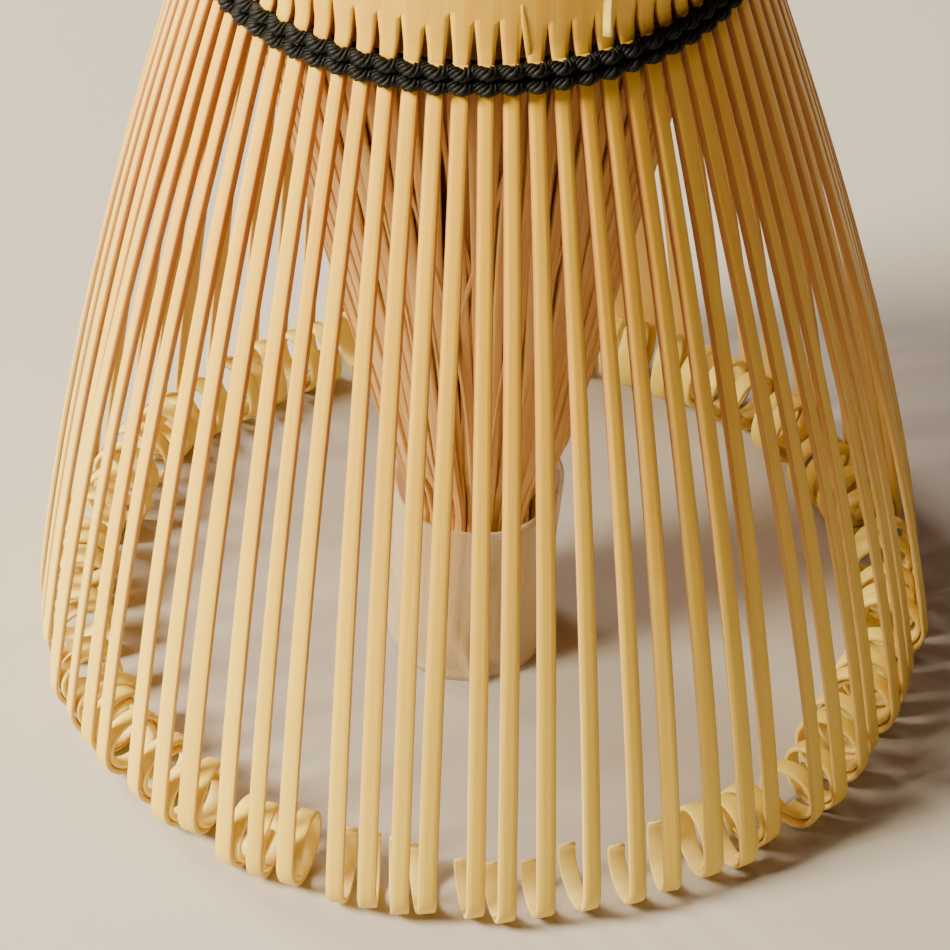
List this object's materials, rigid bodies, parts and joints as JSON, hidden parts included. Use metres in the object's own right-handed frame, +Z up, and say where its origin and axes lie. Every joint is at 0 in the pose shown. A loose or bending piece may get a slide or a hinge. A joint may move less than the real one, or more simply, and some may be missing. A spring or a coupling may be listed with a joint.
{
  "type": "bamboo tea whisk",
  "caption": "Bamboo whisk for powdered tea, with springy outer tines curled at their tips, gathered inner tines, a thread binding and a hollow handle.",
  "frame": {"origin": "centre of the ring of curled tips, on the surface the whisk stands on", "axes": "+Z up through the middle of the handle, +X towards the middle of the first group of outer tines"},
  "size_m": [0.056, 0.056, 0.11],
  "materials": {
    "culm_bamboo": "natural culm skin, satin",
    "outer_bamboo": "thin shaved strips, satin skin outside",
    "inner_bamboo": "fine raw fibres, matt",
    "thread": "black twisted cotton, matt",
    "sleeve_film": "frosted translucent film"
  },
  "bodies": {
    "whisk": {"handle_culm": "culm_bamboo", "binding_thread": "thread", "inner_tines_01": "inner_bamboo", "inner_tines_02": "inner_bamboo", "inner_tines_03": "inner_bamboo", "inner_tines_04": "inner_bamboo", "inner_tines_05": "inner_bamboo", "inner_tines_06": "inner_bamboo", "inner_tines_07": "inner_bamboo", "inner_tines_08": "inner_bamboo", "inner_tines_09": "inner_bamboo", "inner_tines_10": "inner_bamboo", "inner_tines_11": "inner_bamboo", "inner_tines_12": "inner_bamboo"},
    "tines_01": {"outer_tines_01": "outer_bamboo"},
    "tines_02": {"outer_tines_02": "outer_bamboo"},
    "tines_03": {"outer_tines_03": "outer_bamboo"},
    "tines_04": {"outer_tines_04": "outer_bamboo"},
    "tines_05": {"outer_tines_05": "outer_bamboo"},
    "tines_06": {"outer_tines_06": "outer_bamboo"},
    "tines_07": {"outer_tines_07": "outer_bamboo"},
    "tines_08": {"outer_tines_08": "outer_bamboo"},
    "tines_09": {"outer_tines_09": "outer_bamboo"},
    "tines_10": {"outer_tines_10": "outer_bamboo"},
    "tines_11": {"outer_tines_11": "outer_bamboo"},
    "tines_12": {"outer_tines_12": "outer_bamboo"},
    "sleeve": {"tip_sleeve": "sleeve_film"}
  },
  "joints": [
    {"name": "tines_01_flex", "type": "hinge", "parent": "whisk", "child": "tines_01", "pos_m": [0.0153, 0, 0.0544], "axis": [0, -1, 0], "range_deg": [-1.5, 8], "stiffness_Nm_per_rad": 0.024},
    {"name": "tines_02_flex", "type": "hinge", "parent": "whisk", "child": "tines_02", "pos_m": [0.01325, 0.00765, 0.0544], "axis": [0.5, -0.866, 0], "range_deg": [-1.5, 8], "stiffness_Nm_per_rad": 0.024},
    {"name": "tines_03_flex", "type": "hinge", "parent": "whisk", "child": "tines_03", "pos_m": [0.00765, 0.01325, 0.0544], "axis": [0.866, -0.5, 0], "range_deg": [-1.5, 8], "stiffness_Nm_per_rad": 0.024},
    {"name": "tines_04_flex", "type": "hinge", "parent": "whisk", "child": "tines_04", "pos_m": [0, 0.0153, 0.0544], "axis": [1, 0, 0], "range_deg": [-1.5, 8], "stiffness_Nm_per_rad": 0.024},
    {"name": "tines_05_flex", "type": "hinge", "parent": "whisk", "child": "tines_05", "pos_m": [-0.00765, 0.01325, 0.0544], "axis": [0.866, 0.5, 0], "range_deg": [-1.5, 8], "stiffness_Nm_per_rad": 0.024},
    {"name": "tines_06_flex", "type": "hinge", "parent": "whisk", "child": "tines_06", "pos_m": [-0.01325, 0.00765, 0.0544], "axis": [0.5, 0.866, 0], "range_deg": [-1.5, 8], "stiffness_Nm_per_rad": 0.024},
    {"name": "tines_07_flex", "type": "hinge", "parent": "whisk", "child": "tines_07", "pos_m": [-0.0153, 0, 0.0544], "axis": [0, 1, 0], "range_deg": [-1.5, 8], "stiffness_Nm_per_rad": 0.024},
    {"name": "tines_08_flex", "type": "hinge", "parent": "whisk", "child": "tines_08", "pos_m": [-0.01325, -0.00765, 0.0544], "axis": [-0.5, 0.866, 0], "range_deg": [-1.5, 8], "stiffness_Nm_per_rad": 0.024},
    {"name": "tines_09_flex", "type": "hinge", "parent": "whisk", "child": "tines_09", "pos_m": [-0.00765, -0.01325, 0.0544], "axis": [-0.866, 0.5, 0], "range_deg": [-1.5, 8], "stiffness_Nm_per_rad": 0.024},
    {"name": "tines_10_flex", "type": "hinge", "parent": "whisk", "child": "tines_10", "pos_m": [0, -0.0153, 0.0544], "axis": [-1, 0, 0], "range_deg": [-1.5, 8], "stiffness_Nm_per_rad": 0.024},
    {"name": "tines_11_flex", "type": "hinge", "parent": "whisk", "child": "tines_11", "pos_m": [0.00765, -0.01325, 0.0544], "axis": [-0.866, -0.5, 0], "range_deg": [-1.5, 8], "stiffness_Nm_per_rad": 0.024},
    {"name": "tines_12_flex", "type": "hinge", "parent": "whisk", "child": "tines_12", "pos_m": [0.01325, -0.00765, 0.0544], "axis": [-0.5, -0.866, 0], "range_deg": [-1.5, 8], "stiffness_Nm_per_rad": 0.024},
    {"name": "sleeve_pull", "type": "slide", "parent": "whisk", "child": "sleeve", "axis": [0, 0, -1], "range_m": [0, 0.018]}
  ]
}
